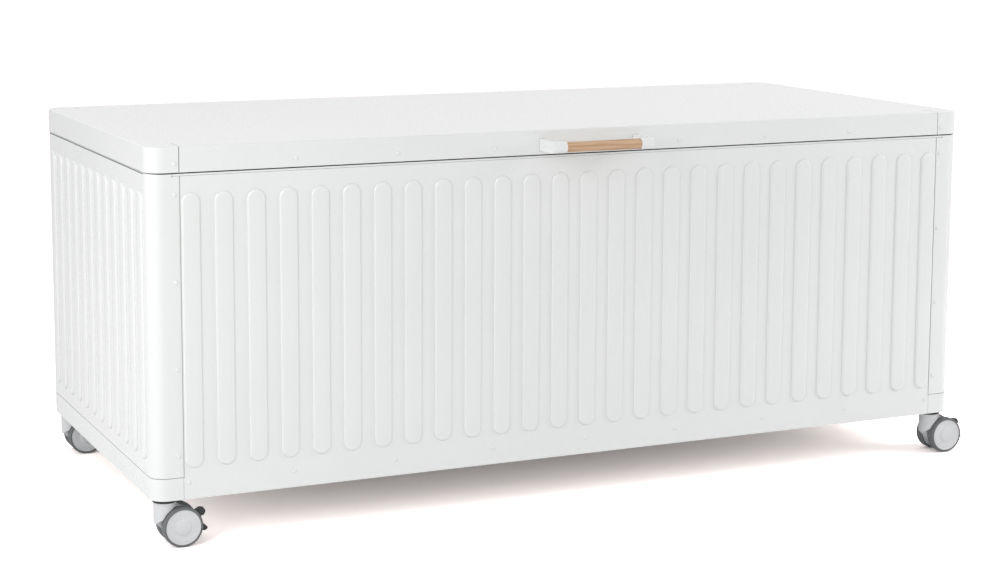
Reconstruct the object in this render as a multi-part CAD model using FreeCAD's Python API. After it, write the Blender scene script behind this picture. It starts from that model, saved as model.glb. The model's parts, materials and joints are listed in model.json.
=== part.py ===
import FreeCAD, Part
import math
import os

# Outdoor storage chest of powder-coated sheet steel on four twin-wheel casters, in millimetres.
# It is drawn with x from the middle of the chest, y from its front face and z from the floor,
# and every piece is moved as it is written so that the origin lies under the middle of the whole.

# Chest body
BODY_W = 1750.0
BODY_D = 790.0
BODY_H = 596.0
CLEAR_UNDER = 91.0
SHEET = 1.5
CORNER_R = 30.0
FLANGE = 57.0
SEAM = 1.8
BAND_H = 41.0
BAND_SEAM = 1.0
TRAY_WALL = 55.0
TAB = 20.0

# Rim rails on top of the front and rear panels
RIM_LIP = 3.4
RIM_WEB = 30.0
RIM_DOWN = 12.5
RIM_END = 44.5
RIM_GAP = 0.5
RELIEF_W = 3.0
END_TOP_FLANGE = 20.0

# Pressed beads
BEAD_W = 35.0
BEAD_CROWN_W = 26.5
BEAD_OUT = 3.5
BEAD_PITCH = 61.35
BEAD_END_STEPS = 3
BEAD_TOP = 34.0
BEAD_BOTTOM = 57.5
END_BEAD_BOTTOM = 68.0
POCKET_W = 22.0
POCKET_PAST = 3.0

# Rivets
RIVET_R = 4.2
RIVET_TOP_R = 2.2
RIVET_H = 1.8
RIVET_SIDES = 6
SEAM_RIVET_IN = 8.5
SEAM_RIVET_LOW = 82.0
SEAM_RIVET_TOP = 30.0
SEAM_RIVET_PITCH = 159.0
BASE_RIVET_PITCH = 202.0
BASE_RIVET_Z = 31.0

# Lid
LID_GAP = 2.5
LID_OVER = 1.0
SKIRT_H = 47.0
LID_EDGE = 1.8
LID_RETURN = 20.0
LID_SLIT = 1.2
LID_SLIT_BACK = 44.0
LID_SLOT_W = 5.0
LID_RIVET_PITCH = 199.5
LID_RIVET_Z = 15.5
STIFFENER_FROM_END = 575.0
STIFFENER_W = 50.0
STIFFENER_H = 18.0
PAD_R = 6.0
PAD_IN = 10.0
PAD_FROM_END = 80.0
PAD_CLEAR = 0.2

# Handle
HANDLE_W = 214.0
ARM_T = 12.0
ARM_H = 23.0
ARM_END_STEPS = 8
BAR_OUT = 56.5
BAR_Z = 19.0
BAR_R = 10.0
BAR_IN = 14.0
FERRULE_R = 11.4
FERRULE_L = 15.0
FIT = 0.05
SCREW_ACROSS = 7.0
SCREW_H = 3.0
SCREW_UP = 7.0

# Rear hinges
HINGE_L = 160.0
KNUCKLE_R = 4.5
KNUCKLE_STEPS = 9
PIN_R = 2.5
PIN_PAST = 2.0
PIN_BEHIND = 6.0
LEAF_T = 2.0
LEAF_H = 32.0
KNUCKLE_GAP = 0.5
LEAF_RISE = 2.6

# Gas struts, in the plane of the hinge pin: forward of it and above it, with the lid closed
STRUT_IN = 34.0
STRUT_FOOT = (60.0, -190.0)
STRUT_HEAD = (125.0, 12.0)
TUBE_R = 9.0
ROD_R = 4.0
SOCKET = 16.0
SOCKET_W = 10.0
STUD_R = 4.0
STUD_GAP = 0.4
TUBE_TO = 160.0
ROD_FROM = 20.0
BRACKET_T = 2.5
FOOT_PLATE = (44.0, 60.0)
HEAD_PLATE_W = 36.0
HEAD_SHELF = 20.0

# Floor rails
RAIL_W = 28.0
RAIL_H = 20.0
RAIL_T = 2.0
RAIL_CLEAR = 1.4
MIDDLE_RAIL_W = 60.0

# Casters
CASTER_X = 30.0
CASTER_Y = 33.0
TRAIL = 27.0
WHEEL_R = 37.5
TWIN_W = 60.0
WHEEL_W = 20.0
AXLE_R = 4.0
AXLE_END = 4.0
NECK_R = 21.0
NECK_TOP = 4.5
NECK_LOW = 2.0
STEM_R = 5.0
STEM_DOWN = 30.0
STEM_SQUARE = 10.0
HOLE_CLEAR = 0.2
NUT_ACROSS = 17.0
NUT_H = 8.0
WEB_T = 16.0
WEB_BACK = 27.0
WEB_LOW = 20.0
WEB_SET_BACK = 3.0
THROAT_LOW = 44.0
THROAT_FULL = 54.0
ARCH_GAP = 1.2
LEVER_AT = (20.0, 9.0)
LEVER_R = 6.0
LEVER_STEPS = 6
LEVER_T = 8.0
LEVER_CLEAR = 0.4
LEVER_PRONG = ((8.0, 13.0), (17.0, 18.5), (25.0, 17.5), (29.0, 11.0), (26.0, 4.0), (17.0, 0.5))
PEDAL_W = 26.0
PEDAL_DOWN = 11.0
PEDAL_ROOT = 4.8
PEDAL_FROM = 38.6
PEDAL_OUT = 11.0
PEDAL_SIDE = ((0.0, 0.0), (6.4, -1.6), (PEDAL_OUT, -6.0), (PEDAL_OUT, -9.6), (5.6, -12.6), (0.0, -11.0))

# Round outlines that repeat often have flat sides
WHEEL_SIDES = 36
ROUND_SIDES = 24
PIN_SIDES = 16

# Worked out from the sizes above
BASE_Z = CLEAR_UNDER
RIM_Z = BASE_Z + BODY_H
LID_Z0 = RIM_Z + LID_GAP
LID_Z1 = LID_Z0 + SKIRT_H
HALF_W = BODY_W / 2
PANEL_HALF = HALF_W - FLANGE - SEAM
SEAM_RIVET_X = HALF_W - FLANGE + SEAM_RIVET_IN
FRONT_BEADS = int((2 * PANEL_HALF - BEAD_W) // BEAD_PITCH) + 1
END_BEADS = int((BODY_D - 2 * CORNER_R - BEAD_W) // BEAD_PITCH) + 1
SEAM_RIVETS = int((BODY_H - SEAM_RIVET_LOW - SEAM_RIVET_TOP) // SEAM_RIVET_PITCH) + 1
BASE_RIVETS = int((2 * PANEL_HALF - 2 * RIVET_R) // BASE_RIVET_PITCH) + 1
LID_RIVETS = int(2 * SEAM_RIVET_X // LID_RIVET_PITCH) - 1
HINGE_X = (LID_RIVETS / 2 - 1) * LID_RIVET_PITCH
TRAY_CUT = CORNER_R - SHEET
TRAY_INNER_CUT = TRAY_CUT - SHEET * (2 - math.sqrt(2))
HINGE_Y = BODY_D + PIN_BEHIND
HINGE_Z = RIM_Z + LID_GAP / 2
WHEEL_IN = TWIN_W / 2 - WHEEL_W
BAR_Y = -LID_OVER - BAR_OUT
RIGHT_REACH = HALF_W - CASTER_X + TRAIL + PEDAL_FROM + PEDAL_OUT
LEFT_REACH = HALF_W + LID_OVER
FRONT_REACH = -BAR_Y + ARM_H / 2
REAR_REACH = HINGE_Y + KNUCKLE_R
ORIGIN = FreeCAD.Vector((RIGHT_REACH - LEFT_REACH) / 2, (REAR_REACH - FRONT_REACH) / 2, 0)

X_AXIS = FreeCAD.Vector(1, 0, 0)
Y_AXIS = FreeCAD.Vector(0, 1, 0)
Z_AXIS = FreeCAD.Vector(0, 0, 1)
SIDES = {"left": -1, "right": 1}


def vec(x, y, z):
    return FreeCAD.Vector(x, y, z)


def write(name, shape):
    """Write a piece, or a group of alike pieces, in the frame of the whole chest."""
    moved = shape.copy()
    moved.translate(-ORIGIN)
    moved.exportStep("parts/" + name + ".step")


def box(x, y, z):
    """A block between two x, two y and two z."""
    return Part.makeBox(x[1] - x[0], y[1] - y[0], z[1] - z[0], vec(x[0], y[0], z[0]))


def rod(r, start, along, length):
    return Part.makeCylinder(r, length, start, along)


def spread(count, pitch):
    """Evenly spaced places about the middle."""
    return [(i - (count - 1) / 2) * pitch for i in range(count)]


def flip_x(shape):
    return shape.mirror(vec(0, 0, 0), X_AXIS)


def flip_y(shape):
    """The same piece at the rear of the chest."""
    return shape.mirror(vec(0, BODY_D / 2, 0), Y_AXIS)


def on_side(shape, side):
    """A piece drawn at the left end, put at the left or the right end."""
    return shape if side < 0 else flip_x(shape)


def prism(points, along):
    """A block with the outline of these points; a point marked as a mid point makes an arc."""
    edges = []
    start = points[0]
    mid = None
    for point in points[1:] + points[:1]:
        if isinstance(point, tuple):
            mid = point[0]
            continue
        edge = Part.Arc(start, mid, point).toShape() if mid else Part.makeLine(start, point)
        edges.append(edge)
        start = point
        mid = None
    return Part.Face(Part.Wire(edges)).extrude(along)


def equal_steps(count, sweep):
    """The angles along an arc of equal steps."""
    return [sweep * i / count for i in range(count + 1)]


def many_sided(r, at, out, sides):
    """A closed outline of equal sides about a point, square to a direction, its corners at r."""
    up = X_AXIS if abs(out.z) > 0.5 else Z_AXIS
    across = out.cross(up)
    turns = [t + math.pi / sides for t in equal_steps(sides, 2 * math.pi)]
    return Part.makePolygon([at + up * (r * math.cos(t)) + across * (r * math.sin(t)) for t in turns])


def sided_rod(r, start, along, length, sides):
    """A bar of equal flat sides with its corners at r."""
    return Part.Face(many_sided(r, start, along, sides)).extrude(along * length)


def sided_around(r, start, along, length, sides):
    """A bar of equal flat sides with its flats at r, which a round bar of this radius just fits."""
    return sided_rod(r / math.cos(math.pi / sides), start, along, length, sides)


def hexagon(across, start, along, height):
    """A six-sided nut or screw head."""
    return sided_rod(across / math.sqrt(3), start, along, height, 6)


def round_box(half_w, y, r, z):
    """A block with its four upright edges rounded."""
    block = box((-half_w, half_w), y, z)
    upright = [e for e in block.Edges if abs(e.tangentAt(e.FirstParameter).z) > 0.9]
    return block.makeFillet(r, upright)


def corner_sheet(z0, z1):
    """The left end's sheet in plan: the end wall, two rounded corners and two flanges."""
    x0 = -HALF_W
    xr = x0 + CORNER_R
    xf = x0 + FLANGE
    inner = CORNER_R - SHEET
    dip = CORNER_R - CORNER_R / math.sqrt(2)
    inner_dip = CORNER_R - inner / math.sqrt(2)
    d = BODY_D
    points = [
        vec(xf, 0, z0), vec(xr, 0, z0), (vec(x0 + dip, dip, z0),), vec(x0, CORNER_R, z0),
        vec(x0, d - CORNER_R, z0), (vec(x0 + dip, d - dip, z0),), vec(xr, d, z0), vec(xf, d, z0),
        vec(xf, d - SHEET, z0), vec(xr, d - SHEET, z0),
        (vec(x0 + inner_dip, d - inner_dip, z0),), vec(x0 + SHEET, d - CORNER_R, z0),
        vec(x0 + SHEET, CORNER_R, z0), (vec(x0 + inner_dip, inner_dip, z0),), vec(xr, SHEET, z0),
        vec(xf, SHEET, z0),
    ]
    return prism(points, vec(0, 0, z1 - z0))


def bead_outline(r, x, low, high, y):
    """A long outline with round ends, each end a row of equal steps."""
    turns = equal_steps(BEAD_END_STEPS, math.pi)
    top = [vec(x + r * math.cos(t), y, high + r * math.sin(t)) for t in turns]
    bottom = [vec(x - r * math.cos(t), y, low - r * math.sin(t)) for t in turns]
    return Part.makePolygon(top + bottom + top[:1])


def bead(x, z0, z1):
    """A long pressed bead on the front face, and the pocket behind it."""
    r = BEAD_W / 2
    low = z0 + r
    high = z1 - r
    foot = bead_outline(r, x, low, high, 0)
    crown = bead_outline(BEAD_CROWN_W / 2, x, low, high, -BEAD_OUT)
    pocket = box((x - POCKET_W / 2, x + POCKET_W / 2), (SHEET - BEAD_OUT, SHEET),
                 (low - POCKET_PAST, high + POCKET_PAST))
    return Part.makeLoft([foot, crown], True, True), pocket


def beaded(sheet, count, z0, z1):
    """A sheet in the front plane with a row of beads about the middle."""
    pairs = [bead(x, z0, z1) for x in spread(count, BEAD_PITCH)]
    return sheet.fuse([p[0] for p in pairs]).cut(Part.makeCompound([p[1] for p in pairs]))


def front_panel():
    """The beaded front sheet, with its side and top edges set back behind their neighbours."""
    half = PANEL_HALF
    top = RIM_Z - RIM_LIP - RIM_GAP
    sheet = box((-half, half), (0, SHEET), (BASE_Z, top))
    tab_z = (BASE_Z + TRAY_WALL + SEAM, RIM_Z - SHEET - RIM_GAP)
    reach = half + SEAM + TAB
    back = box((-reach, reach), (SHEET, 2 * SHEET), tab_z)
    window = box((-half + TAB / 2, half - TAB / 2), (SHEET, 2 * SHEET), (0, top - TAB / 2))
    sheet = beaded(sheet, FRONT_BEADS, BASE_Z + BEAD_BOTTOM, RIM_Z - BEAD_TOP)
    return sheet.fuse(back.cut(window)).removeSplitter()


def end_panel():
    """The beaded sheet that wraps the left end and both its corners."""
    z0 = BASE_Z + BAND_H + BAND_SEAM
    far = CORNER_R + SHEET
    top = box((-HALF_W, -HALF_W + END_TOP_FLANGE), (far, BODY_D - far), (RIM_Z - SHEET, RIM_Z))
    sheet = corner_sheet(z0, RIM_Z).fuse(top)
    slit_x = -HALF_W + RIM_END - RIM_GAP
    slit_z = RIM_Z - RIM_LIP - RIM_GAP
    notch = box((slit_x, -HALF_W + FLANGE), (0, SHEET), (slit_z, RIM_Z))
    relief = box((slit_x - RELIEF_W, slit_x), (0, SHEET), (slit_z - RELIEF_W / 2, slit_z + RELIEF_W / 2))
    cuts = [notch, relief, flip_y(notch), flip_y(relief)]
    turn = FreeCAD.Placement(vec(-HALF_W, BODY_D / 2, 0), FreeCAD.Rotation(Z_AXIS, -90))
    crowns = []
    for x in spread(END_BEADS, BEAD_PITCH):
        crown, pocket = bead(x, BASE_Z + END_BEAD_BOTTOM, RIM_Z - BEAD_TOP)
        crown.Placement = turn
        pocket.Placement = turn
        crowns.append(crown)
        cuts.append(pocket)
    return sheet.fuse(crowns).cut(Part.makeCompound(cuts)).removeSplitter()


def rim_rail():
    """The folded rail that caps the front panel: lip, web and turned-down edge."""
    x = (-HALF_W + RIM_END, HALF_W - RIM_END)
    lip = box(x, (0, SHEET), (RIM_Z - RIM_LIP, RIM_Z))
    web = box(x, (0, RIM_WEB), (RIM_Z - SHEET, RIM_Z))
    down = box(x, (RIM_WEB - SHEET, RIM_WEB), (RIM_Z - RIM_DOWN, RIM_Z))
    return lip.fuse([web, down]).removeSplitter()


def caster_places():
    """The name and the swivel axis of each caster."""
    x = HALF_W - CASTER_X
    return {
        "front_left": (-x, CASTER_Y), "front_right": (x, CASTER_Y),
        "rear_left": (-x, BODY_D - CASTER_Y), "rear_right": (x, BODY_D - CASTER_Y),
    }


def stem_holes():
    """The square holes in the tray and in the rails for the necks of the caster stems."""
    half = STEM_SQUARE / 2 + HOLE_CLEAR
    z = (BASE_Z - 1, BASE_Z + SHEET + RAIL_H + 1)
    spots = caster_places().values()
    return Part.makeCompound([box((x - half, x + half), (y - half, y + half), z) for x, y in spots])


def cut_corner_block(inset, cut, z0, z1):
    """A block as wide and deep as the chest less an inset, its upright corners cut off."""
    x = HALF_W - inset
    y0 = inset
    y1 = BODY_D - inset
    points = [vec(-x + cut, y0, z0), vec(x - cut, y0, z0), vec(x, y0 + cut, z0), vec(x, y1 - cut, z0),
              vec(x - cut, y1, z0), vec(-x + cut, y1, z0), vec(-x, y1 - cut, z0), vec(-x, y0 + cut, z0)]
    return prism(points, vec(0, 0, z1 - z0))


def base_tray():
    """The folded tray that is the chest's floor."""
    top = BASE_Z + TRAY_WALL
    outer = cut_corner_block(SHEET, TRAY_CUT, BASE_Z, top)
    inner = cut_corner_block(2 * SHEET, TRAY_INNER_CUT, BASE_Z + SHEET, top)
    return outer.cut(inner).cut(stem_holes())


def floor_rail(x, width):
    """A channel, open side down, across the tray's floor, short of the tray's cut corners."""
    z0 = BASE_Z + SHEET
    wall = 2 * SHEET
    cut_line = TRAY_INNER_CUT - (HALF_W - wall - abs(x) - width / 2)
    from_wall = wall + max(cut_line, 0) + RAIL_CLEAR
    y = (from_wall, BODY_D - from_wall)
    outer = box((x - width / 2, x + width / 2), y, (z0, z0 + RAIL_H))
    inner = box((x - width / 2 + RAIL_T, x + width / 2 - RAIL_T), y, (z0, z0 + RAIL_H - RAIL_T))
    return outer.cut(inner).cut(stem_holes())


def rivet(at, out):
    """The set head of a rivet on a face."""
    foot = many_sided(RIVET_R, at, out, RIVET_SIDES)
    top = many_sided(RIVET_TOP_R, at + out * RIVET_H, out, RIVET_SIDES)
    return Part.makeLoft([foot, top], True, True)


def chest_rivets():
    """The rivets of the corner seams and of the base, front and rear."""
    heads = []
    for side in SIDES.values():
        for i in range(SEAM_RIVETS):
            z = BASE_Z + SEAM_RIVET_LOW + i * SEAM_RIVET_PITCH
            heads.append(rivet(vec(side * SEAM_RIVET_X, 0, z), -Y_AXIS))
    for x in spread(BASE_RIVETS, BASE_RIVET_PITCH):
        heads.append(rivet(vec(x, 0, BASE_Z + BASE_RIVET_Z), -Y_AXIS))
    return Part.makeCompound(heads + [flip_y(h) for h in heads])


def lid_shell():
    """The folded lid: top, skirts and turned-in lower edge, slit beside each rounded corner."""
    y = (-LID_OVER, BODY_D + LID_OVER)
    half = HALF_W + LID_OVER
    r = CORNER_R + LID_OVER
    outer = round_box(half, y, r, (LID_Z0, LID_Z1))
    outer = outer.makeChamfer(LID_EDGE, [e for e in outer.Edges if e.BoundBox.ZMin > LID_Z1 - 0.01])
    inner = round_box(half - SHEET, (y[0] + SHEET, y[1] - SHEET), r - SHEET,
                      (LID_Z0 + SHEET, LID_Z1 - SHEET))
    mouth = box((-half + LID_RETURN, half - LID_RETURN), (y[0] + LID_RETURN, y[1] - LID_RETURN),
                (LID_Z0, LID_Z0 + 2 * SHEET))
    cuts = []
    for side in SIDES.values():
        x = side * (HALF_W - FLANGE)
        slit = box((x - LID_SLIT / 2, x + LID_SLIT / 2), (y[0], LID_SLIT_BACK), (LID_Z0, LID_Z1))
        slot = box((x - LID_SLOT_W / 2, x + LID_SLOT_W / 2), (LID_SLIT_BACK, LID_SLIT_BACK + LID_SLOT_W),
                   (LID_Z1 - 2 * SHEET, LID_Z1))
        cuts += [slit, slot, flip_y(slit), flip_y(slot)]
    return outer.cut(inner).cut(mouth).cut(Part.makeCompound(cuts))


def lid_rivets():
    """The rivets in the lid's front and rear skirts, one beside each corner slit."""
    row = [x for x in spread(LID_RIVETS, LID_RIVET_PITCH) if abs(x) > HANDLE_W / 2]
    row += [side * SEAM_RIVET_X for side in SIDES.values()]
    heads = [rivet(vec(x, -LID_OVER, LID_Z0 + LID_RIVET_Z), -Y_AXIS) for x in row]
    return Part.makeCompound(heads + [flip_y(h) for h in heads])


def lid_stiffener():
    """A channel under the lid's top, from front to rear."""
    x0 = -HALF_W + STIFFENER_FROM_END - STIFFENER_W / 2
    x1 = x0 + STIFFENER_W
    top = LID_Z1 - SHEET
    y = (LID_RETURN, BODY_D - LID_RETURN)
    outer = box((x0, x1), y, (top - STIFFENER_H, top))
    inner = box((x0 + SHEET, x1 - SHEET), y, (top - STIFFENER_H + SHEET, top))
    return outer.cut(inner)


def bump_pads():
    """The rubber pads on the rim rails that the lid's turned-in edge comes down on."""
    x = HALF_W - PAD_FROM_END
    spots = [(sx * x, y) for sx in SIDES.values() for y in (PAD_IN, BODY_D - PAD_IN)]
    height = LID_GAP - PAD_CLEAR
    pads = [sided_rod(PAD_R, vec(a, b, RIM_Z), Z_AXIS, height, PIN_SIDES) for a, b in spots]
    return Part.makeCompound(pads)


def handle_bracket():
    """The left arm of the handle with the ferrule that holds the bar."""
    z = LID_Z0 + BAR_Z
    x0 = -HANDLE_W / 2
    h = ARM_H / 2
    end = [vec(x0, BAR_Y - h * math.sin(t), z - h * math.cos(t)) for t in equal_steps(ARM_END_STEPS, math.pi)]
    arm = prism([vec(x0, -LID_OVER, z - h)] + end + [vec(x0, -LID_OVER, z + h)], vec(ARM_T, 0, 0))
    ferrule = sided_rod(FERRULE_R, vec(x0 + ARM_T, BAR_Y, z), X_AXIS, FERRULE_L, ROUND_SIDES)
    bore_x = x0 + ARM_T + FERRULE_L - BAR_IN - FIT
    bore = sided_around(BAR_R + FIT, vec(bore_x, BAR_Y, z), X_AXIS, BAR_IN + FIT, ROUND_SIDES)
    return arm.fuse(ferrule).cut(bore).removeSplitter()


def handle_bar():
    half = HANDLE_W / 2 - ARM_T - FERRULE_L + BAR_IN
    return rod(BAR_R, vec(-half, BAR_Y, LID_Z0 + BAR_Z), X_AXIS, 2 * half)


def handle_screws():
    """The screw heads inside the lid that hold the two arms."""
    heads = []
    for side in SIDES.values():
        x = side * (HANDLE_W / 2 - ARM_T / 2)
        for dz in (-SCREW_UP, SCREW_UP):
            at = vec(x, SHEET - LID_OVER, LID_Z0 + BAR_Z + dz)
            heads.append(hexagon(SCREW_ACROSS, at, Y_AXIS, SCREW_H))
    return Part.makeCompound(heads)


def knuckle(x0, x1, up, wall):
    """Half of the hinge's barrel, rolled out of the leaf that lies on this wall, above or below."""
    r = KNUCKLE_R
    y = HINGE_Y
    z = HINGE_Z
    rise = up * LEAF_RISE
    turns = equal_steps(KNUCKLE_STEPS, 1.5 * math.pi)
    round_part = [vec(x0, y - r * math.cos(t), z - up * r * math.sin(t)) for t in turns]
    points = [vec(x0, wall, z + rise), vec(x0, y - r, z + rise)] + round_part + [vec(x0, wall, z + up * r)]
    roll = prism(points, vec(x1 - x0, 0, 0))
    return roll.cut(sided_around(PIN_R + FIT, vec(x0, y, z), X_AXIS, x1 - x0, PIN_SIDES))


def hinge_leaf(x0, x1, up, wall):
    """One leaf of a hinge: the plate on its wall and its half of the barrel, from x0 to x1."""
    z = HINGE_Z + up * KNUCKLE_R
    plate = box((HINGE_X - HINGE_L / 2, HINGE_X + HINGE_L / 2), (wall, wall + LEAF_T),
                (min(z, z + up * LEAF_H), max(z, z + up * LEAF_H)))
    return plate.fuse(knuckle(x0, x1, up, wall)).removeSplitter()


def body_leaf():
    """The hinge leaf on the chest's rear face."""
    return hinge_leaf(HINGE_X - HINGE_L / 2, HINGE_X - KNUCKLE_GAP / 2, -1, BODY_D)


def lid_leaf():
    """The hinge leaf on the lid's rear skirt."""
    return hinge_leaf(HINGE_X + KNUCKLE_GAP / 2, HINGE_X + HINGE_L / 2, 1, BODY_D + LID_OVER)


def hinge_pin():
    long = HINGE_L + 2 * PIN_PAST
    return rod(PIN_R, vec(HINGE_X - long / 2, HINGE_Y, HINGE_Z), X_AXIS, long)


def strut_point(place):
    """A point of the strut's plane at the left end."""
    return vec(-HALF_W + STRUT_IN, HINGE_Y - place[0], HINGE_Z + place[1])


def strut_pose():
    """The strut stands on its foot and leans to its head: the place, and the length between."""
    foot = strut_point(STRUT_FOOT)
    reach = strut_point(STRUT_HEAD) - foot
    return FreeCAD.Placement(foot, FreeCAD.Rotation(Z_AXIS, reach)), reach.Length


def socket(z):
    """The moulded end fitting that snaps over a stud."""
    half = SOCKET / 2
    return box((-SOCKET_W / 2, SOCKET_W / 2), (-half, half), (z - half, z + half))


def strut_cylinder():
    pose, length = strut_pose()
    start = SOCKET / 2
    tube = sided_rod(TUBE_R, vec(0, 0, start), Z_AXIS, TUBE_TO - start, ROUND_SIDES)
    bore = sided_around(ROD_R + FIT, vec(0, 0, ROD_FROM), Z_AXIS, TUBE_TO - ROD_FROM, PIN_SIDES)
    shape = tube.fuse(socket(0)).cut(bore).removeSplitter()
    shape.Placement = pose
    return shape


def strut_rod():
    pose, length = strut_pose()
    shaft = rod(ROD_R, vec(0, 0, ROD_FROM), Z_AXIS, length - SOCKET / 2 - ROD_FROM)
    shape = shaft.fuse(socket(length)).removeSplitter()
    shape.Placement = pose
    return shape


def strut_body_bracket():
    """The plate on the end wall with the stud beside the strut's foot."""
    foot = strut_point(STRUT_FOOT)
    wall = -HALF_W + SHEET
    w, h = FOOT_PLATE
    plate = box((wall, wall + BRACKET_T), (foot.y - w / 2, foot.y + w / 2), (foot.z - h / 2, foot.z + h / 2))
    end = foot.x - SOCKET_W / 2 - STUD_GAP
    stud = sided_rod(STUD_R, vec(wall, foot.y, foot.z), X_AXIS, end - wall, PIN_SIDES)
    return plate.fuse(stud).removeSplitter()


def strut_lid_bracket():
    """The angle under the lid's top with the stud beside the strut's head."""
    head = strut_point(STRUT_HEAD)
    end = head.x - SOCKET_W / 2 - STUD_GAP
    x0 = end - STUD_R - BRACKET_T
    top = LID_Z1 - SHEET
    w = HEAD_PLATE_W / 2
    y = (head.y - w, head.y + w)
    plate = box((x0, x0 + BRACKET_T), y, (head.z - SOCKET / 2, top))
    shelf = box((x0, x0 + HEAD_SHELF), y, (top - BRACKET_T, top))
    stud = sided_rod(STUD_R, vec(x0, head.y, head.z), X_AXIS, end - x0, PIN_SIDES)
    return plate.fuse([shelf, stud]).removeSplitter()


def caster_stems():
    """The stem of each caster: a round pin that the caster swivels on, and a square neck above it."""
    pieces = []
    half = STEM_SQUARE / 2
    for x, y in caster_places().values():
        pin = sided_rod(STEM_R, vec(x, y, BASE_Z - STEM_DOWN), Z_AXIS, STEM_DOWN, PIN_SIDES)
        neck = box((x - half, x + half), (y - half, y + half), (BASE_Z, BASE_Z + SHEET + RAIL_H))
        pieces.append(pin.fuse(neck).removeSplitter())
    return Part.makeCompound(pieces)


def caster_nuts():
    top = BASE_Z + SHEET + RAIL_H
    return Part.makeCompound([hexagon(NUT_ACROSS, vec(x, y, top), Z_AXIS, NUT_H)
                              for x, y in caster_places().values()])


def throat():
    """The front of the fork, round like its neck, hollowed over the wheels and narrowing to the web."""
    top = 2 * WHEEL_R + NECK_LOW
    w = WEB_T / 2
    r = NECK_R
    wedge = prism([vec(-r, -r, top), vec(-r, r, top), vec(-r, r, THROAT_FULL), vec(-r, w, THROAT_LOW),
                   vec(-r, -w, THROAT_LOW), vec(-r, -r, THROAT_FULL)], vec(2 * r, 0, 0))
    arch = sided_around(WHEEL_R + ARCH_GAP, vec(TRAIL, -r, WHEEL_R), Y_AXIS, 2 * r, ROUND_SIDES)
    round_part = sided_rod(r, vec(0, 0, THROAT_LOW), Z_AXIS, top - THROAT_LOW, ROUND_SIDES)
    return round_part.common(wedge).cut(arch)


def caster_housing(braked):
    """The moulded fork about the swivel axis at 0, 0, with the wheels trailing towards +x."""
    top = BASE_Z - NECK_TOP
    neck_z = 2 * WHEEL_R + NECK_LOW
    low = WHEEL_R - WEB_LOW
    back = TRAIL + WEB_BACK
    side = -WEB_T / 2
    front = -NECK_R + WEB_SET_BACK
    outline = [vec(front, side, neck_z), vec(front, side, THROAT_LOW), vec(TRAIL - WEB_LOW, side, low),
               vec(TRAIL + WEB_LOW / 2, side, low), vec(back, side, WHEEL_R),
               vec(back, side, neck_z - WEB_LOW), vec(NECK_R, side, neck_z)]
    web = prism(outline, vec(0, WEB_T, 0))
    neck = sided_rod(NECK_R, vec(0, 0, neck_z), Z_AXIS, top - neck_z, ROUND_SIDES)
    cuts = [rod(STEM_R + FIT, vec(0, 0, BASE_Z - STEM_DOWN - FIT), Z_AXIS, STEM_DOWN),
            sided_rod(AXLE_R + FIT, vec(TRAIL, side, WHEEL_R), Y_AXIS, WEB_T, PIN_SIDES)]
    if braked:
        cuts.append(lever_room())
    return neck.fuse([throat(), web]).cut(Part.makeCompound(cuts)).removeSplitter()


def lever_room():
    """The slot in the back of the web for the brake lever."""
    half = LEVER_T / 2 + LEVER_CLEAR
    x = TRAIL + LEVER_AT[0] - LEVER_R - LEVER_CLEAR
    return box((x, TRAIL + WEB_BACK + 1), (-half, half), (WHEEL_R - WEB_LOW, 2 * WHEEL_R))


def brake_lever():
    """The foot lever between the wheels: a round heel, an upper prong and a lower pedal."""
    x = TRAIL + LEVER_AT[0]
    z = WHEEL_R + LEVER_AT[1]
    side = -LEVER_T / 2
    px = TRAIL + PEDAL_FROM
    pedal_z = z - PEDAL_DOWN
    outline = [vec(x - LEVER_R * math.sin(t), side, z - LEVER_R * math.cos(t))
               for t in equal_steps(LEVER_STEPS, math.pi)]
    outline += [vec(x + u, side, z + v) for u, v in LEVER_PRONG]
    outline += [vec(px, side, pedal_z), vec(px, side, pedal_z - PEDAL_ROOT)]
    w = PEDAL_W / 2
    pedal = prism([vec(px + u, -w, pedal_z + v) for u, v in PEDAL_SIDE], vec(0, PEDAL_W, 0))
    return prism(outline, vec(0, LEVER_T, 0)).fuse(pedal).removeSplitter()


def caster_axle():
    half = TWIN_W / 2 - AXLE_END
    return sided_rod(AXLE_R, vec(TRAIL, -half, WHEEL_R), Y_AXIS, 2 * half, PIN_SIDES)


def caster_wheel(side):
    """A wheel with its moulded-on tread, bored from its inner face for the axle's end."""
    out = Y_AXIS * side
    face = vec(TRAIL, side * WHEEL_IN, WHEEL_R)
    depth = WHEEL_W - AXLE_END + FIT
    disc = sided_around(WHEEL_R, face, out, WHEEL_W, WHEEL_SIDES)
    return disc.cut(rod(AXLE_R + FIT, face, out, depth))


def write_casters():
    for name, (x, y) in caster_places().items():
        braked = name.startswith("front")
        pieces = {"housing": caster_housing(braked), "axle": caster_axle()}
        for label, side in (("front_wheel", -1), ("rear_wheel", 1)):
            pieces[label] = caster_wheel(side)
        if braked:
            pieces["brake_lever"] = brake_lever()
        for piece, shape in pieces.items():
            shape.translate(vec(x, y, 0))
            write("caster_" + name + "_" + piece, shape)


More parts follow.
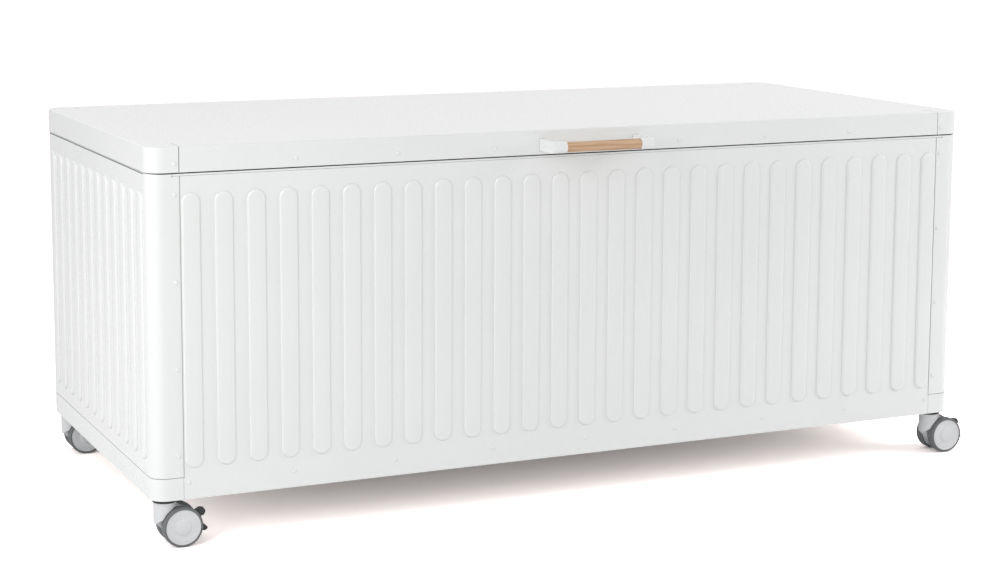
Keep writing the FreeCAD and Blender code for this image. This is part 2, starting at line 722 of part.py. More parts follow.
def write_body():
    panel = front_panel()
    write("front_panel", panel)
    write("rear_panel", flip_y(panel))
    rail = rim_rail()
    write("front_rim_rail", rail)
    write("rear_rim_rail", flip_y(rail))
    write("base_tray", base_tray())
    write("floor_rail_left", floor_rail(-HALF_W + CASTER_X, RAIL_W))
    write("floor_rail_middle", floor_rail(0, MIDDLE_RAIL_W))
    write("floor_rail_right", floor_rail(HALF_W - CASTER_X, RAIL_W))
    end = end_panel()
    band = corner_sheet(BASE_Z, BASE_Z + BAND_H)
    for name, side in SIDES.items():
        write("end_panel_" + name, on_side(end, side))
        write("base_band_" + name, on_side(band, side))
    write("chest_rivets", chest_rivets())
    write("caster_stems", caster_stems())
    write("caster_nuts", caster_nuts())
    write("bump_pads", bump_pads())


def write_lid():
    write("lid_shell", lid_shell())
    write("lid_rivets", lid_rivets())
    write("handle_bar", handle_bar())
    write("handle_screws", handle_screws())
    stiffener = lid_stiffener()
    bracket = handle_bracket()
    for name, side in SIDES.items():
        write("lid_stiffener_" + name, on_side(stiffener, side))
        write("handle_bracket_" + name, on_side(bracket, side))


def write_hinges_and_struts():
    pieces = {
        "strut_body_bracket": strut_body_bracket(), "strut_lid_bracket": strut_lid_bracket(),
        "strut_cylinder": strut_cylinder(), "strut_rod": strut_rod(),
    }
    hinge = {"hinge_body_leaf": body_leaf(), "hinge_lid_leaf": lid_leaf(), "hinge_pin": hinge_pin()}
    for name, side in SIDES.items():
        for piece, shape in pieces.items():
            write(piece + "_" + name, on_side(shape, side))
        for piece, shape in hinge.items():
            write(piece + "_" + name, on_side(shape, -side))


os.makedirs("parts", exist_ok=True)
write_body()
write_lid()
write_hinges_and_struts()
write_casters()
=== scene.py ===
import json
import math

import bmesh
import bpy
from mathutils import Matrix, Vector


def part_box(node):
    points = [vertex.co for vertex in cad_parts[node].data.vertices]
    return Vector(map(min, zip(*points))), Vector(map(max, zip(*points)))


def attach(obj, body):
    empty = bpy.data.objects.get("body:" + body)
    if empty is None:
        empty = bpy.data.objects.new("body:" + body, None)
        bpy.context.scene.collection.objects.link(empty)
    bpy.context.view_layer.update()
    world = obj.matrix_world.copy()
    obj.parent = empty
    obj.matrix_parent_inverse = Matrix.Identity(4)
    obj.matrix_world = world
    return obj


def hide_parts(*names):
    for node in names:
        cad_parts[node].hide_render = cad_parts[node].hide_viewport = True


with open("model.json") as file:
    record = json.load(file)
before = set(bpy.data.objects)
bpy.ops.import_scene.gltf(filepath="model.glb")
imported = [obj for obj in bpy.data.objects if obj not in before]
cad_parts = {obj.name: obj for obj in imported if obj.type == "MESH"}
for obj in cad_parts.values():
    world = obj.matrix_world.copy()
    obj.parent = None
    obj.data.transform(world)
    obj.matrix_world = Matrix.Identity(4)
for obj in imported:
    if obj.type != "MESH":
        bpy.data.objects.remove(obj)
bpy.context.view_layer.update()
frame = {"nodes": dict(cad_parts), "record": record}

# Lengths are written in millimetres, from the middle of the chest's front face at the floor,
# and turned to metres in the row frame when a mesh is made.
MM = 0.001
PANEL_LOW, PANEL_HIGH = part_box("front_panel")
LEFT_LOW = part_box("end_panel_left")[0]
ORIGIN_X = -(PANEL_LOW[0] + PANEL_HIGH[0]) / 2 / MM
ORIGIN_Y = -LEFT_LOW[1] / MM

# The chest's own sizes, as in the solids
BODY_W = 1750.0
BODY_D = 790.0
BASE_Z = 91.0
BAND_TOP = 133.0
RIM_Z = 687.0
SHEET = 1.5
CORNER_R = 30.0
FLANGE = 57.0
SEAM = 1.8
TAB = 20.0
TRAY_WALL = 55.0
RIM_LIP = 3.4
RIM_GAP = 0.5
RIM_END = 44.5
RELIEF_R = 1.6
RELIEF_STEPS = 12
END_TOP_FLANGE = 20.0
LID_FACE = 1.0
HANDLE_HALF = 107.0

# Drawn here only, as the photo shows it: the end walls' extra height and the gap at the front's foot
END_RISE = 1.2
FOOT_GAP = 0.5

# Beads; a ring is its distance from the bead's middle line and its height over the sheet
BEAD_PITCH = 61.35
FRONT_BEADS = 27
END_BEADS = 12
BEAD_R = 17.5
BEAD_TOP = 653.0
FRONT_BEAD_LOW = 148.5
END_BEAD_LOW = 159.0
BEAD_STEPS = 16
BEAD_RINGS = ((17.5, 0.0), (17.35, 0.9), (16.9, 1.75), (16.2, 2.47), (15.25, 3.03), (14.15, 3.38),
              (13.0, 3.5))

# Rivets; a ring is its radius and its height over the sheet
RIVET_RINGS = ((4.2, 0.0), (4.0, 0.75), (3.3, 1.4), (2.0, 1.75), (0.7, 1.8))
RIVET_STEPS = 20
SEAM_RIVET_X = 826.5
SEAM_RIVET_Z = (173.0, 332.0, 491.0, 650.0)
BASE_RIVET_Z = 122.0
BASE_RIVETS = 9
BASE_RIVET_PITCH = 202.0
LID_RIVET_Z = 705.0
LID_RIVETS = 7
LID_RIVET_PITCH = 199.5

# Casters: where each swivels; disc and tread are turned from radius and distance out from the
# wheel's inner face, the collar from radius and height
CASTERS = {"front_left": (-845.0, 33.0), "front_right": (845.0, 33.0),
           "rear_left": (-845.0, 757.0), "rear_right": (845.0, 757.0)}
TRAIL = 27.0
WHEEL_R = 37.5
WHEEL_IN = 10.0
WHEEL_STEPS = 64
COLLAR_STEPS = 48
DISC = ((4.1, 0.0), (32.4, 0.0), (32.7, 0.3), (32.7, 18.6), (32.2, 19.2), (30.4, 19.2), (29.7, 18.2),
        (28.1, 17.9), (27.2, 18.3), (25.5, 18.3), (24.6, 17.6), (15.3, 17.2), (14.7, 17.8), (13.8, 18.9),
        (11.6, 19.6), (7.0, 20.0), (0.4, 20.0), (0.01, 20.0))
TREAD = ((32.8, 0.4), (34.5, 0.0), (36.4, 0.8), (37.3, 2.6), (37.5, 5.0), (37.5, 14.0), (37.3, 16.6),
         (36.4, 18.6), (34.9, 19.5), (33.2, 19.5), (32.8, 19.1))
COLLAR = ((5.2, 86.9), (21.4, 86.9), (21.4, 83.6), (22.2, 83.6), (22.5, 84.0), (22.5, 90.9), (5.2, 90.9))

# Edges that turn by more than this many degrees stay sharp
SHARP = 28.0
SHARP_TREAD = 50.0
SHARP_RIVET = 60.0
MERGE_DISTANCE = 0.00001

# Rounding of the CAD nodes' edges: how the node's name starts and ends, width and segments.
# The first line that fits counts, and the nodes that are drawn anew here need none.
SOFT_EDGES = (
    ("caster", "housing", 1.2, 3),
    ("caster", "brake_lever", 0.9, 3),
    ("handle_bracket", "", 1.0, 3),
    ("handle_bar", "", 0.5, 2),
    ("lid_shell", "", 0.45, 2),
    ("", "", 0.3, 2),
)
SOFT_ANGLE = 30.0
REDRAWN = ("panel", "panel_left", "panel_right", "rivets", "wheel")

# Colours; the middle part of a noise's range is where colour and roughness change
NOISE_LOW = 0.3
NOISE_HIGH = 0.7
COAT_DARK = (0.785, 0.80, 0.79)
COAT_LIGHT = (0.805, 0.815, 0.81)
# Painted shade: how far the ambient occlusion reaches, in metres, and the ramp of how dark it paints the
# creases
PAINTED_SHADE_REACH = 0.002
PAINTED_SHADE_STOPS = ((0.15, (0.28, 0.28, 0.28)), (0.45, (0.68, 0.68, 0.68)), (0.75, (1.0, 1.0, 1.0)))
WOOD_STOPS = ((0.34, (0.42, 0.25, 0.14)), (0.5, (0.54, 0.34, 0.205)), (0.64, (0.65, 0.44, 0.285)))
ALONG = (0.05, 1.0, 1.0)
STREAKY = (0.1, 1.0, 1.0)

# Stage, in metres: the floor as it lights the chest, as the camera sees it, and as gloss shows it
WHITE = (1.0, 1.0, 1.0, 1.0)
FLOOR_HALF = 40.0
FLOOR_COLOUR = (0.95, 0.95, 0.95, 1.0)
FLOOR_SEEN = (2.1, 1.93, 1.9, 1.0)
FLOOR_IN_GLOSS = (1.2, 1.2, 1.2, 1.0)
WORLD_LIGHT = 0.55
WORLD_SEEN = 1.0

# Softboxes: place and aim in metres, width and height, watts, and whether gloss shows the lamp.
# The two that it doesn't show would blank out the lid's top in views from behind and from the right.
SOFTBOXES = (
    ("left_softbox", (-2.1, -1.5, 1.4), (-0.7, 0.1, 0.4), (0.6, 1.4), 15.2, True),
    ("end_softbox", (-4.2, -0.5, 1.6), (-0.9, 0.2, 0.4), (1.4, 1.8), 27.0, False),
    ("right_softbox", (2.5, -1.3, 1.4), (0.7, 0.0, 0.4), (0.6, 1.4), 22.0, False),
    ("front_softbox", (-0.6, -5.6, 2.6), (0.0, 0.0, 0.3), (4.0, 2.2), 29.0, True),
    ("top_softbox", (1.5, 0.2, 3.0), (0.7, 0.4, 0.7), (1.6, 1.4), 4.5, True),
)

# Camera: where it stands, how it looks, and its lens, worked out from the seams and edges in the photo
CAMERA_AT = (-1859.2, -3613.5, 1166.5)
CAMERA_YAW = 24.526
CAMERA_PITCH = 7.785
CAMERA_ROLL = 0.244
CAMERA_LENS = 76.01
CAMERA_SENSOR = 36.0
CAMERA_SHIFT = (0.01, -0.10)


def place(x, y, z):
    """A point of the chest as a point of the row frame, in metres."""
    return Vector(((x - ORIGIN_X) * MM, (y - ORIGIN_Y) * MM, z * MM))


def spread(count, pitch):
    """Evenly spaced places about zero."""
    return [(i - (count - 1) / 2) * pitch for i in range(count)]


def circle(steps):
    """The angles of a full turn in equal steps."""
    return [2 * math.pi * i / steps for i in range(steps)]


# Materials

def new_material(name):
    """An empty material with a Principled shader; returns the material, its tree and the shader."""
    material = bpy.data.materials.new(name)
    material.use_nodes = True
    tree = material.node_tree
    return material, tree, tree.nodes["Principled BSDF"]


def add_node(tree, kind, **values):
    """A new node; a value goes to the socket of its name, or else to the node's own setting."""
    node = tree.nodes.new(kind)
    for key, value in values.items():
        if key in node.inputs:
            node.inputs[key].default_value = value
        else:
            setattr(node, key, value)
    return node


def noise(tree, scale, detail=3.0, stretch=(1.0, 1.0, 1.0)):
    """Noise in the object's own space, per metre, stretched along the axes."""
    coords = add_node(tree, "ShaderNodeTexCoord")
    mapping = add_node(tree, "ShaderNodeMapping")
    mapping.inputs["Scale"].default_value = stretch
    texture = add_node(tree, "ShaderNodeTexNoise", Scale=scale, Detail=detail)
    tree.links.new(coords.outputs["Object"], mapping.inputs["Vector"])
    tree.links.new(mapping.outputs["Vector"], texture.inputs["Vector"])
    return texture.outputs["Fac"]


def ramp(tree, source, stops):
    """A colour ramp over a factor: each stop is a place and a colour."""
    node = add_node(tree, "ShaderNodeValToRGB")
    elements = node.color_ramp.elements
    elements[0].position, elements[0].color = stops[0][0], (*stops[0][1], 1.0)
    elements[1].position, elements[1].color = stops[-1][0], (*stops[-1][1], 1.0)
    for position, colour in stops[1:-1]:
        elements.new(position).color = (*colour, 1.0)
    tree.links.new(source, node.inputs["Fac"])
    return node.outputs["Color"]


def two_tone(tree, source, darker, colour):
    """A ramp between two colours over the middle of a noise's range."""
    return ramp(tree, source, ((NOISE_LOW, darker), (NOISE_HIGH, colour)))


def vary_roughness(tree, shader, source, low, high):
    """Roughness between two values over the middle of a noise's range."""
    node = add_node(tree, "ShaderNodeMapRange")
    node.inputs["From Min"].default_value = NOISE_LOW
    node.inputs["From Max"].default_value = NOISE_HIGH
    node.inputs["To Min"].default_value = low
    node.inputs["To Max"].default_value = high
    tree.links.new(source, node.inputs["Value"])
    tree.links.new(node.outputs["Result"], shader.inputs["Roughness"])


def bump(tree, shader, source, strength, distance):
    """Fine relief from a factor; the distance is in metres."""
    node = add_node(tree, "ShaderNodeBump", Strength=strength, Distance=distance)
    tree.links.new(source, node.inputs["Height"])
    tree.links.new(node.outputs["Normal"], shader.inputs["Normal"])


def powder_coat():
    """Satin white powder coat with its fine orange-peel texture, and painted shade darkening its
    creases.
    """
    material, tree, shader = new_material("white_powder_coat")
    colour = two_tone(tree, noise(tree, scale=3.0, detail=2.0), COAT_DARK, COAT_LIGHT)
    # Painted shade: ambient occlusion darkens the coat's colour at bead feet, seams, rivet rims and
    # other creases
    crease = add_node(tree, "ShaderNodeAmbientOcclusion", samples=16, Distance=PAINTED_SHADE_REACH)
    painted_shade = ramp(tree, crease.outputs["AO"], PAINTED_SHADE_STOPS)
    shaded_coat = add_node(tree, "ShaderNodeMix", data_type="RGBA", blend_type="MULTIPLY")
    shaded_coat.inputs["Factor"].default_value = 1.0
    tree.links.new(colour, shaded_coat.inputs["A"])
    tree.links.new(painted_shade, shaded_coat.inputs["B"])
    tree.links.new(shaded_coat.outputs["Result"], shader.inputs["Base Color"])
    peel = noise(tree, scale=650.0, detail=2.0)
    vary_roughness(tree, shader, peel, low=0.22, high=0.29)
    bump(tree, shader, peel, strength=0.06, distance=0.0002)
    shader.inputs["Specular IOR Level"].default_value = 0.5
    shader.inputs["Coat Weight"].default_value = 0.5
    shader.inputs["Coat Roughness"].default_value = 0.15
    return material


def oiled_wood():
    """Pale oiled wood with its grain along the bar."""
    material, tree, shader = new_material("oiled_wood")
    grain = noise(tree, scale=240.0, detail=6.0, stretch=ALONG)
    tree.links.new(ramp(tree, grain, WOOD_STOPS), shader.inputs["Base Color"])
    pores = noise(tree, scale=420.0, detail=4.0, stretch=ALONG)
    vary_roughness(tree, shader, pores, low=0.38, high=0.55)
    bump(tree, shader, pores, strength=0.25, distance=0.0002)
    return material


def moulded(name, colour, darker, rough):
    """A moulded plastic or rubber with a fine grain."""
    material, tree, shader = new_material(name)
    tone = two_tone(tree, noise(tree, scale=25.0), darker, colour)
    tree.links.new(tone, shader.inputs["Base Color"])
    grain = noise(tree, scale=500.0)
    vary_roughness(tree, shader, grain, low=rough - 0.05, high=rough + 0.06)
    bump(tree, shader, grain, strength=0.15, distance=0.0001)
    return material


def plated(name, colour, darker, rough):
    """Plated or polished steel with faint streaks."""
    material, tree, shader = new_material(name)
    streak = noise(tree, scale=260.0, detail=4.0, stretch=STREAKY)
    tree.links.new(two_tone(tree, streak, darker, colour), shader.inputs["Base Color"])
    vary_roughness(tree, shader, streak, low=rough, high=rough + 0.12)
    shader.inputs["Metallic"].default_value = 1.0
    return material


def make_paints():
    """The material of each slot in the record."""
    white = powder_coat()
    light_grey = moulded("caster_light_grey", (0.69, 0.695, 0.71), (0.64, 0.645, 0.66), 0.38)
    return {
        "white_steel": white,
        "white_rivet": white,
        "zinc_steel": plated("zinc_plate", (0.66, 0.67, 0.68), (0.52, 0.53, 0.55), 0.32),
        "handle_wood": oiled_wood(),
        "caster_grey": light_grey,
        "caster_wheel": moulded("soft_tread", (0.16, 0.165, 0.17), (0.13, 0.135, 0.14), 0.62),
        "black_plastic": moulded("black_plastic", (0.03, 0.03, 0.031), (0.02, 0.02, 0.021), 0.42),
        "black_rubber": moulded("black_rubber", (0.03, 0.03, 0.03), (0.02, 0.02, 0.02), 0.7),
        "strut_black": moulded("black_enamel", (0.03, 0.03, 0.032), (0.022, 0.022, 0.024), 0.3),
        "strut_rod": plated("polished_rod", (0.78, 0.79, 0.8), (0.7, 0.71, 0.73), 0.12),
    }


# Mesh building

class Shape:
    """Corners and faces collected in millimetres, then made into one smooth-shaded mesh."""

    def __init__(self):
        self.points = []
        self.faces = []

    def add(self, points, faces):
        """Adds points, and faces that count from the first of them."""
        start = len(self.points)
        self.points += points
        self.faces += [[start + i for i in face] for face in faces]

    def block(self, x, y, z):
        """A box between two x, two y and two z."""
        corners = [(a, b, c) for a in x for b in y for c in z]
        sides = [(0, 1, 3, 2), (4, 6, 7, 5), (0, 4, 5, 1), (2, 3, 7, 6), (0, 2, 6, 4), (1, 5, 7, 3)]
        self.add(corners, sides)

    def rings(self, rings, close_last=True):
        """Closed rings of equally many points, joined one to the next."""
        count = len(rings[0])
        points = [p for ring in rings for p in ring]
        faces = []
        for k in range(len(rings) - 1):
            for i in range(count):
                j = (i + 1) % count
                faces.append((k * count + i, k * count + j, (k + 1) * count + j, (k + 1) * count + i))
        if close_last:
            faces.append(tuple((len(rings) - 1) * count + i for i in range(count)))
        self.add(points, faces)

    def changed(self, move, flip=False):
        """The same shape with every point moved, its faces turned over if flip."""
        other = Shape()
        other.points = [move(p) for p in self.points]
        other.faces = [list(reversed(f)) if flip else list(f) for f in self.faces]
        return other

    def join(self, other):
        """Adds another shape's points and faces."""
        self.add(other.points, other.faces)

    def make(self, name, material, body, sharp=SHARP, sheet=0.0):
        """A Blender object that rides on a body; a sheet gets its thickness, inwards."""
        mesh = bpy.data.meshes.new(name)
        mesh.from_pydata([place(*p) for p in self.points], [], self.faces)
        tidy = bmesh.new()
        tidy.from_mesh(mesh)
        bmesh.ops.remove_doubles(tidy, verts=tidy.verts, dist=MERGE_DISTANCE)
        if sheet:
            bmesh.ops.solidify(tidy, geom=tidy.faces, thickness=sheet * MM)
        tidy.to_mesh(mesh)
        tidy.free()
        mesh.polygons.foreach_set("use_smooth", [True] * len(mesh.polygons))
        mesh.set_sharp_from_angle(angle=math.radians(sharp))
        piece = bpy.data.objects.new(name, mesh)
        bpy.context.collection.objects.link(piece)
        piece.data.materials.append(material)
        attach(piece, body)
        return piece


def as_is(p):
    """A point that stays where it is."""
    return p


def to_rear(p):
    """A point of the front half, mirrored to the rear."""
    return (p[0], BODY_D - p[1], p[2])


def to_right(p):
    """A point of the left half, mirrored to the right."""
    return (-p[0], p[1], p[2])


# Beaded sheets, drawn flat: u across, v up, w out

def on_front(p):
    """A point of a flat sheet, on the front face."""
    return (p[0], -p[2], p[1])


def on_left_end(p):
    """A point of a flat sheet, on the left end's face."""
    return (-BODY_W / 2 - p[2], BODY_D / 2 - p[0], p[1])


def bead_ring(u, low, high, radius, out):
    """One closed ring of a bead, its ends half circles."""
    turns = [math.pi * i / BEAD_STEPS for i in range(BEAD_STEPS + 1)]
    top = high - BEAD_R
    bottom = low + BEAD_R
    ring = [(u + radius * math.cos(t), top + radius * math.sin(t), out) for t in turns]
    ring += [(u - radius * math.cos(t), bottom - radius * math.sin(t), out) for t in turns]
    return ring


def beaded_sheet(places, edges, v_low, v_high, bead_low):
    """A flat sheet with a row of beads; edges are the sheet's two side edges."""
    shape = Shape()
    cuts = [edges[0]] + [(a + b) / 2 for a, b in zip(places, places[1:])] + [edges[1]]
    half = BEAD_STEPS + 1
    around = [tuple(range(half + 2))]
    for u, left, right in zip(places, cuts, cuts[1:]):
        rings = [bead_ring(u, bead_low, BEAD_TOP, radius, out) for radius, out in BEAD_RINGS]
        shape.rings(rings)
        top_arc = rings[0][:half]
        bottom_arc = rings[0][half:]
        shape.add([(right, v_high, 0), (left, v_high, 0)] + top_arc[::-1], around)
        shape.add([(left, v_low, 0), (right, v_low, 0)] + bottom_arc[::-1], around)
        shape.add([(right, v_low, 0), (right, v_high, 0), top_arc[0], bottom_arc[-1]], [(0, 1, 2, 3)])
        shape.add([(left, v_high, 0), (left, v_low, 0), bottom_arc[0], top_arc[-1]], [(0, 1, 2, 3)])
    return shape


def long_panel():
    """The front sheet, and the set-back tabs and foot strips beside it."""
    half = BODY_W / 2 - FLANGE - SEAM
    top = RIM_Z - RIM_LIP - RIM_GAP
    flat = beaded_sheet(spread(FRONT_BEADS, BEAD_PITCH), (-half, half), BASE_Z, top, FRONT_BEAD_LOW)
    tabs = Shape()
    tab_in = half - TAB / 2
    tab_out = half + SEAM + TAB
    tab_top = RIM_Z - SHEET - RIM_GAP
    tab_z = (BASE_Z + TRAY_WALL + SEAM, tab_top)
    behind = (SHEET, 2 * SHEET)
    tabs.block((-tab_out, -tab_in), behind, tab_z)
    tabs.block((tab_in, tab_out), behind, tab_z)
    tabs.block((-tab_in, tab_in), behind, (top - TAB / 2, tab_top))
    foot = half + SEAM - FOOT_GAP
    for x in ((-foot, -half), (half, foot)):
        tabs.block(x, (0, SHEET), (BASE_Z, BAND_TOP - SEAM))
    return flat.changed(on_front), tabs


def relief_hole(x, z):
    """Three quarters of the small round hole where a corner's slit ends."""
    turns = [math.radians(-270 * i / RELIEF_STEPS) for i in range(RELIEF_STEPS + 1)]
    return [(x + RELIEF_R * math.cos(t), 0, z + RELIEF_R * math.sin(t)) for t in turns]


def wrapped_corner():
    """The left end's front corner: the rounded bend and the flange beside it."""
    x0 = -BODY_W / 2
    shape = Shape()
    turns = [math.pi / 2 * i / BEAD_STEPS for i in range(BEAD_STEPS + 1)]
    bend = [(x0 + CORNER_R - CORNER_R * math.cos(t), CORNER_R - CORNER_R * math.sin(t)) for t in turns]
    low = [(x, y, BAND_TOP) for x, y in bend]
    high = [(x, y, RIM_Z + END_RISE * (1 - i / BEAD_STEPS)) for i, (x, y) in enumerate(bend)]
    count = len(bend)
    shape.add(low + high, [(i, i + 1, count + i + 1, count + i) for i in range(BEAD_STEPS)])
    slit_x = x0 + RIM_END - RIM_GAP
    slit_z = RIM_Z - RIM_LIP - RIM_GAP
    flange = [(x0 + CORNER_R, 0, BAND_TOP), (x0 + FLANGE, 0, BAND_TOP), (x0 + FLANGE, 0, slit_z)]
    flange += relief_hole(slit_x, slit_z)
    flange += [(slit_x, 0, RIM_Z), (x0 + CORNER_R, 0, RIM_Z)]
    shape.add(flange, [tuple(range(len(flange)))])
    return shape


def end_panel():
    """The left end's sheet with both wrapped corners, and the strip that its top turns in."""
    side = (-BODY_D / 2 + CORNER_R, BODY_D / 2 - CORNER_R)
    flat = beaded_sheet(spread(END_BEADS, BEAD_PITCH), side, BAND_TOP, RIM_Z + END_RISE, END_BEAD_LOW)
    skin = flat.changed(on_left_end)
    corner = wrapped_corner()
    skin.join(corner)
    skin.join(corner.changed(to_rear, flip=True))
    x0 = -BODY_W / 2
    far = CORNER_R + SHEET
    strip = Shape()
    strip.block((x0, x0 + END_TOP_FLANGE), (far, BODY_D - far), (RIM_Z - SHEET, RIM_Z))
    return skin, strip


def make_panels(paint):
    """The four walls of the chest in place of their CAD nodes."""
    long_skin, tabs = long_panel()
    end_skin, strip = end_panel()
    walls = {
        "front_panel": (long_skin, tabs, as_is, False),
        "rear_panel": (long_skin, tabs, to_rear, True),
        "end_panel_left": (end_skin, strip, as_is, False),
        "end_panel_right": (end_skin, strip, to_right, True),
    }
    for node, (skin, extra, move, flip) in walls.items():
        wall = skin.changed(move, flip).make(node + "_sheet", paint, "chest", sheet=SHEET)
        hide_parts(node)
        edge = extra.changed(move, flip).make(node + "_inner_edge", paint, "chest")


# Rivets

def dome(x, y, z, out):
    """A rivet's low domed head on a front (out -1) or rear (out 1) face."""
    shape = Shape()
    shape.rings([[(x - out * radius * math.cos(t), y + out * height, z + radius * math.sin(t))
                  for t in circle(RIVET_STEPS)] for radius, height in RIVET_RINGS])
    return shape


def make_rivets(paint):
    """The rivet heads of the chest and of the lid, front and rear."""
    chest = Shape()
    lid = Shape()
    for y, out in ((0.0, -1), (BODY_D, 1)):
        for x in (-SEAM_RIVET_X, SEAM_RIVET_X):
            for z in SEAM_RIVET_Z:
                chest.join(dome(x, y, z, out))
            lid.join(dome(x, y + out * LID_FACE, LID_RIVET_Z, out))
        for x in spread(BASE_RIVETS, BASE_RIVET_PITCH):
            chest.join(dome(x, y, BASE_RIVET_Z, out))
        for x in spread(LID_RIVETS, LID_RIVET_PITCH):
            if abs(x) > HANDLE_HALF:
                lid.join(dome(x, y + out * LID_FACE, LID_RIVET_Z, out))
    for shape, body, node in ((chest, "chest", "chest_rivets"), (lid, "lid", "lid_rivets")):
        heads = shape.make(node + "_heads", paint, body, sharp=SHARP_RIVET)
        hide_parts(node)


# Casters

def turned(profile, centre, side):
    """A shape turned about a wheel's axis: radius and distance out from its inner face."""
    cx, cy, cz = centre
    shape = Shape()
    shape.rings([[(cx + r * math.cos(t) * -side, cy + side * out, cz + r * math.sin(t))
                  for t in circle(WHEEL_STEPS)] for r, out in profile], close_last=False)
    return shape


def make_wheels(disc_paint, tread_paint):
    """The two wheels of each caster, a disc with its tread."""
    for name, (x, y) in CASTERS.items():
        for label, side in (("front_wheel", -1), ("rear_wheel", 1)):
            node = "caster_" + name + "_" + label
            centre = (x + TRAIL, y + side * WHEEL_IN, WHEEL_R)
            disc = turned(DISC, centre, side).make(node + "_disc", disc_paint, node)
            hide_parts(node)
            band = turned(TREAD, centre, side)
            tread = band.make(node + "_tread", tread_paint, node, sharp=SHARP_TREAD)


def make_collars(paint):
    """The dark ring that caps each caster's neck, up to the base."""
    for name, (x, y) in CASTERS.items():
        shape = Shape()
        shape.rings([[(x + r * math.cos(t), y + r * math.sin(t), z) for t in circle(COLLAR_STEPS)]
                     for r, z in COLLAR], close_last=False)
        collar = shape.make("caster_" + name + "_collar", paint, "chest")


# CAD nodes that stay

def dress_nodes(paints):
    """Gives each CAD node the material of its slot."""
    slots = {part["node"]: part["material_slot"] for part in frame["record"]["subparts"]}
    for node, piece in frame["nodes"].items():
        piece.data.materials.clear()
        piece.data.materials.append(paints[slots[node]])


def soften(node, width, segments):
    """Rounds the edges of a CAD node, with hardened normals."""
    piece = frame["nodes"][node]
    bevel = piece.modifiers.new("edges", "BEVEL")
    bevel.width = width * MM
    bevel.segments = segments
    bevel.limit_method = "ANGLE"
    bevel.angle_limit = math.radians(SOFT_ANGLE)
    bevel.harden_normals = True


def soft_edge(node):
    """The width and the segments of a CAD node's rounded edges."""
    for start, end, width, segments in SOFT_EDGES:
        if node.startswith(start) and node.endswith(end):
            return width, segments


def soften_nodes():
    """Rounds the edges of every CAD node that isn't drawn anew."""
    for node in frame["nodes"]:
        if not node.endswith(REDRAWN):
            soften(node, *soft_edge(node))


# Stage

def seen_only(tree):
    """A factor that is 1 for rays from the camera and through gloss or glass."""
    path = add_node(tree, "ShaderNodeLightPath")
    first = add_node(tree, "ShaderNodeMath", operation="MAXIMUM")
    last = add_node(tree, "ShaderNodeMath", operation="MAXIMUM")
    tree.links.new(path.outputs["Is Camera Ray"], first.inputs[0])
    tree.links.new(path.outputs["Is Glossy Ray"], first.inputs[1])
    tree.links.new(first.outputs[0], last.inputs[0])
    tree.links.new(path.outputs["Is Transmission Ray"], last.inputs[1])
    return last.outputs[0]


def stage_material():
    """A matt floor that the camera sees as plain white, with the object's shadow left on it."""
    material, tree, shader = new_material("studio_white")
    shader.inputs["Base Color"].default_value = FLOOR_COLOUR
    shader.inputs["Roughness"].default_value = 0.9
    path = add_node(tree, "ShaderNodeLightPath")
    tone = add_node(tree, "ShaderNodeMix", data_type="RGBA")
    tone.inputs["A"].default_value = FLOOR_IN_GLOSS
    tone.inputs["B"].default_value = FLOOR_SEEN
    seen = add_node(tree, "ShaderNodeBsdfDiffuse")
    mix = add_node(tree, "ShaderNodeMixShader")
    tree.links.new(path.outputs["Is Camera Ray"], tone.inputs["Factor"])
    tree.links.new(tone.outputs["Result"], seen.inputs["Color"])
    tree.links.new(seen_only(tree), mix.inputs["Fac"])
    tree.links.new(shader.outputs[0], mix.inputs[1])
    tree.links.new(seen.outputs[0], mix.inputs[2])
    tree.links.new(mix.outputs[0], tree.nodes["Material Output"].inputs["Surface"])
    return material


def make_stage():
    """The floor, wide enough to be the background too."""
    mesh = bpy.data.meshes.new("studio_floor")
    size = FLOOR_HALF
    corners = [(-size, -size, 0), (size, -size, 0), (size, size, 0), (-size, size, 0)]
    mesh.from_pydata(corners, [], [(0, 1, 2, 3)])
    floor = bpy.data.objects.new("studio_floor", mesh)
    bpy.context.collection.objects.link(floor)
    floor.data.materials.append(stage_material())


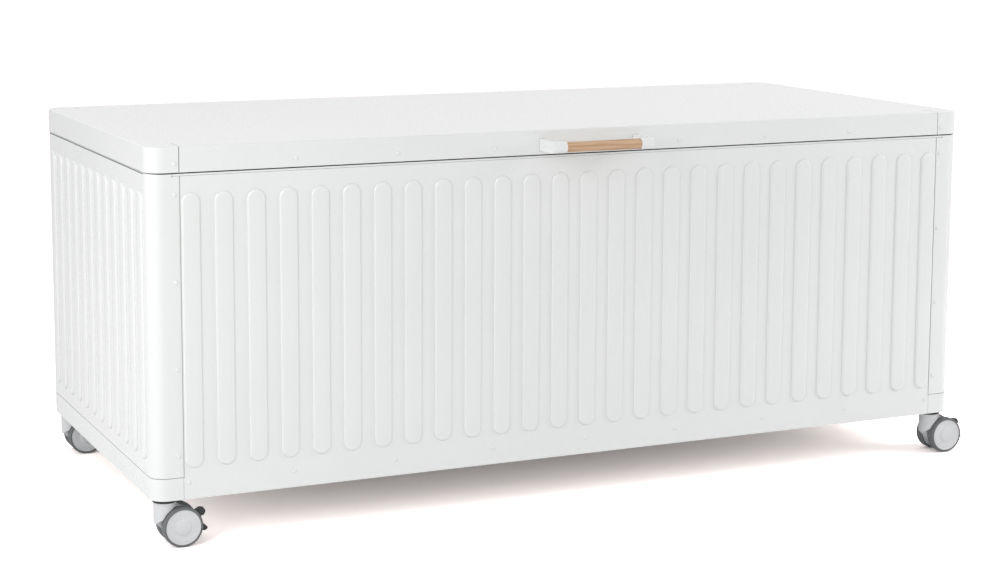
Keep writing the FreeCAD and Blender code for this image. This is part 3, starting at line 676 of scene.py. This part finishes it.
def make_world():
    """A soft even light, which the camera, gloss and glass see as plain white."""
    world = bpy.data.worlds.new("studio")
    bpy.context.scene.world = world
    world.use_nodes = True
    tree = world.node_tree
    tree.nodes.clear()
    light = add_node(tree, "ShaderNodeBackground", Color=WHITE, Strength=WORLD_LIGHT)
    seen = add_node(tree, "ShaderNodeBackground", Color=WHITE, Strength=WORLD_SEEN)
    mix = add_node(tree, "ShaderNodeMixShader")
    out = add_node(tree, "ShaderNodeOutputWorld")
    tree.links.new(seen_only(tree), mix.inputs["Fac"])
    tree.links.new(light.outputs[0], mix.inputs[1])
    tree.links.new(seen.outputs[0], mix.inputs[2])
    tree.links.new(mix.outputs[0], out.inputs["Surface"])


def area_light(name, at, towards, size, power, mirrored):
    """A softbox; one that isn't mirrored lights the object but doesn't show in its gloss."""
    lamp = bpy.data.lights.new(name, "AREA")
    lamp.shape = "RECTANGLE"
    lamp.size = size[0]
    lamp.size_y = size[1]
    lamp.energy = power
    holder = bpy.data.objects.new(name, lamp)
    holder.location = at
    holder.rotation_euler = (Vector(towards) - Vector(at)).to_track_quat("-Z", "Y").to_euler()
    holder.visible_glossy = mirrored
    bpy.context.collection.objects.link(holder)


def make_camera():
    """The camera that took the photo, as far as it could be worked out."""
    yaw = math.radians(CAMERA_YAW)
    pitch = math.radians(CAMERA_PITCH)
    roll = math.radians(CAMERA_ROLL)
    flat = math.cos(pitch)
    ahead = Vector((math.sin(yaw) * flat, math.cos(yaw) * flat, -math.sin(pitch)))
    level = Vector((math.cos(yaw), -math.sin(yaw), 0.0))
    upright = level.cross(ahead)
    right = level * math.cos(roll) + upright * math.sin(roll)
    up = upright * math.cos(roll) - level * math.sin(roll)
    camera = bpy.data.cameras.new("photo_camera")
    camera.lens = CAMERA_LENS
    camera.sensor_width = CAMERA_SENSOR
    camera.shift_x, camera.shift_y = CAMERA_SHIFT
    holder = bpy.data.objects.new("photo_camera", camera)
    turn = Matrix((right, up, -ahead)).transposed().to_4x4()
    holder.matrix_world = Matrix.Translation(place(*CAMERA_AT)) @ turn
    bpy.context.collection.objects.link(holder)
    bpy.context.scene.camera = holder


# The scene

paints = make_paints()
dress_nodes(paints)
soften_nodes()
make_panels(paints["white_steel"])
make_rivets(paints["white_rivet"])
make_wheels(paints["caster_grey"], paints["caster_wheel"])
make_collars(paints["black_rubber"])
make_stage()
make_world()
for softbox in SOFTBOXES:
    area_light(*softbox)
make_camera()
bpy.context.scene.view_settings.view_transform = "Standard"
